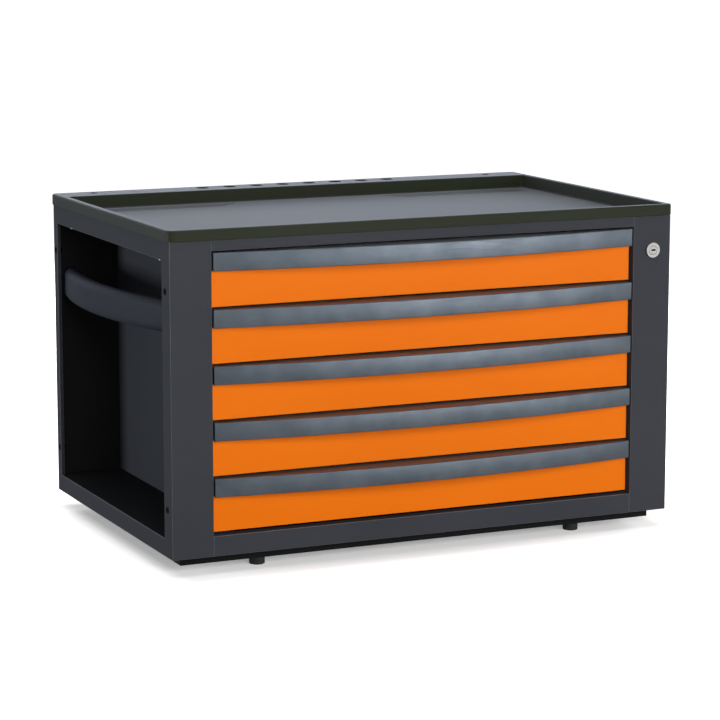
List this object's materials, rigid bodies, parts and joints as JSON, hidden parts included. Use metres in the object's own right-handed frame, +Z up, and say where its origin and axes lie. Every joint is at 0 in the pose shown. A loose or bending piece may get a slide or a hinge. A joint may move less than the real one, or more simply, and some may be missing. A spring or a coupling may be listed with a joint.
{
  "type": "drawer tool cabinet",
  "caption": "Low bench-top tool cabinet with bowed drawer handles, telescopic slides, a key lock, a moulded worktop tray and open side niches with lifting grips.",
  "frame": {"origin": "on the floor, under the middle of the whole part's box", "axes": "+X to the right along the front, +Y from the front to the back, +Z up; the drawers open along -Y"},
  "size_m": [0.745, 0.498, 0.454],
  "materials": {
    "body_paint": "fine-textured anthracite powder coat",
    "base_paint": "matt black powder coat",
    "front_paint": "semi-gloss orange powder coat",
    "box_paint": "fine-textured grey powder coat",
    "handle_aluminium": "satin blue-grey anodised",
    "tray_plastic": "fine-grained dark moulding",
    "grip_plastic": "smooth satin dark moulding",
    "guide_plastic": "plain black moulding",
    "foot_rubber": "matt black rubber",
    "mat_rubber": "ribbed black rubber sheet",
    "insert_steel": "blackened steel",
    "zinc_steel": "bright zinc-plated steel",
    "lock_nickel": "bright nickel plate"
  },
  "bodies": {
    "cabinet": {"left_side_frame": "body_paint", "right_side_frame": "body_paint", "left_inner_panel": "body_paint", "right_inner_panel": "body_paint", "back_panel": "body_paint", "bottom_panel": "body_paint", "top_panel": "body_paint", "front_top_rail": "body_paint", "front_bottom_rail": "body_paint", "plinth": "base_paint", "feet": "foot_rubber", "foot_screws": "zinc_steel", "worktop_tray": "tray_plastic", "left_grip": "grip_plastic", "right_grip": "grip_plastic", "grip_screws": "zinc_steel", "accessory_inserts": "insert_steel", "hem_screws": "zinc_steel", "slide_outer_rails": "zinc_steel", "lock_barrel": "lock_nickel", "lock_nut": "zinc_steel", "lock_bar_guides": "guide_plastic"},
    "lock_plug": {"lock_plug": "lock_nickel", "lock_cam": "zinc_steel"},
    "lock_bar": {"lock_bar": "zinc_steel"},
    "drawer_1": {"drawer_1_box": "box_paint", "drawer_1_front": "front_paint", "drawer_1_handle": "handle_aluminium", "drawer_1_mat": "mat_rubber", "drawer_1_rails": "zinc_steel"},
    "runner_1": {"runner_1": "zinc_steel"},
    "drawer_2": {"drawer_2_box": "box_paint", "drawer_2_front": "front_paint", "drawer_2_handle": "handle_aluminium", "drawer_2_mat": "mat_rubber", "drawer_2_rails": "zinc_steel"},
    "runner_2": {"runner_2": "zinc_steel"},
    "drawer_3": {"drawer_3_box": "box_paint", "drawer_3_front": "front_paint", "drawer_3_handle": "handle_aluminium", "drawer_3_mat": "mat_rubber", "drawer_3_rails": "zinc_steel"},
    "runner_3": {"runner_3": "zinc_steel"},
    "drawer_4": {"drawer_4_box": "box_paint", "drawer_4_front": "front_paint", "drawer_4_handle": "handle_aluminium", "drawer_4_mat": "mat_rubber", "drawer_4_rails": "zinc_steel"},
    "runner_4": {"runner_4": "zinc_steel"},
    "drawer_5": {"drawer_5_box": "box_paint", "drawer_5_front": "front_paint", "drawer_5_handle": "handle_aluminium", "drawer_5_mat": "mat_rubber", "drawer_5_rails": "zinc_steel"},
    "runner_5": {"runner_5": "zinc_steel"}
  },
  "joints": [
    {"name": "lock_turn", "type": "hinge", "parent": "cabinet", "child": "lock_plug", "pos_m": [0.3395, -0.226, 0.3915], "axis": [0, 1, 0], "range_deg": [0, 90]},
    {"name": "lock_bar_slide", "type": "slide", "parent": "cabinet", "child": "lock_bar", "axis": [0, 0, -1], "range_m": [0, 0.008]},
    {"name": "drawer_1_slide", "type": "slide", "parent": "cabinet", "child": "drawer_1", "axis": [0, -1, 0], "range_m": [0, 0.37]},
    {"name": "runner_1_slide", "type": "slide", "parent": "cabinet", "child": "runner_1", "axis": [0, -1, 0], "range_m": [0, 0.185]},
    {"name": "drawer_2_slide", "type": "slide", "parent": "cabinet", "child": "drawer_2", "axis": [0, -1, 0], "range_m": [0, 0.37]},
    {"name": "runner_2_slide", "type": "slide", "parent": "cabinet", "child": "runner_2", "axis": [0, -1, 0], "range_m": [0, 0.185]},
    {"name": "drawer_3_slide", "type": "slide", "parent": "cabinet", "child": "drawer_3", "axis": [0, -1, 0], "range_m": [0, 0.37]},
    {"name": "runner_3_slide", "type": "slide", "parent": "cabinet", "child": "runner_3", "axis": [0, -1, 0], "range_m": [0, 0.185]},
    {"name": "drawer_4_slide", "type": "slide", "parent": "cabinet", "child": "drawer_4", "axis": [0, -1, 0], "range_m": [0, 0.37]},
    {"name": "runner_4_slide", "type": "slide", "parent": "cabinet", "child": "runner_4", "axis": [0, -1, 0], "range_m": [0, 0.185]},
    {"name": "drawer_5_slide", "type": "slide", "parent": "cabinet", "child": "drawer_5", "axis": [0, -1, 0], "range_m": [0, 0.37]},
    {"name": "runner_5_slide", "type": "slide", "parent": "cabinet", "child": "runner_5", "axis": [0, -1, 0], "range_m": [0, 0.185]}
  ],
  "couplings": [
    {"joint": "lock_turn", "follows": "lock_bar_slide", "rad_per_m": 196.35},
    {"joint": "runner_1_slide", "follows": "drawer_1_slide", "ratio": 0.5},
    {"joint": "runner_2_slide", "follows": "drawer_2_slide", "ratio": 0.5},
    {"joint": "runner_3_slide", "follows": "drawer_3_slide", "ratio": 0.5},
    {"joint": "runner_4_slide", "follows": "drawer_4_slide", "ratio": 0.5},
    {"joint": "runner_5_slide", "follows": "drawer_5_slide", "ratio": 0.5}
  ]
}
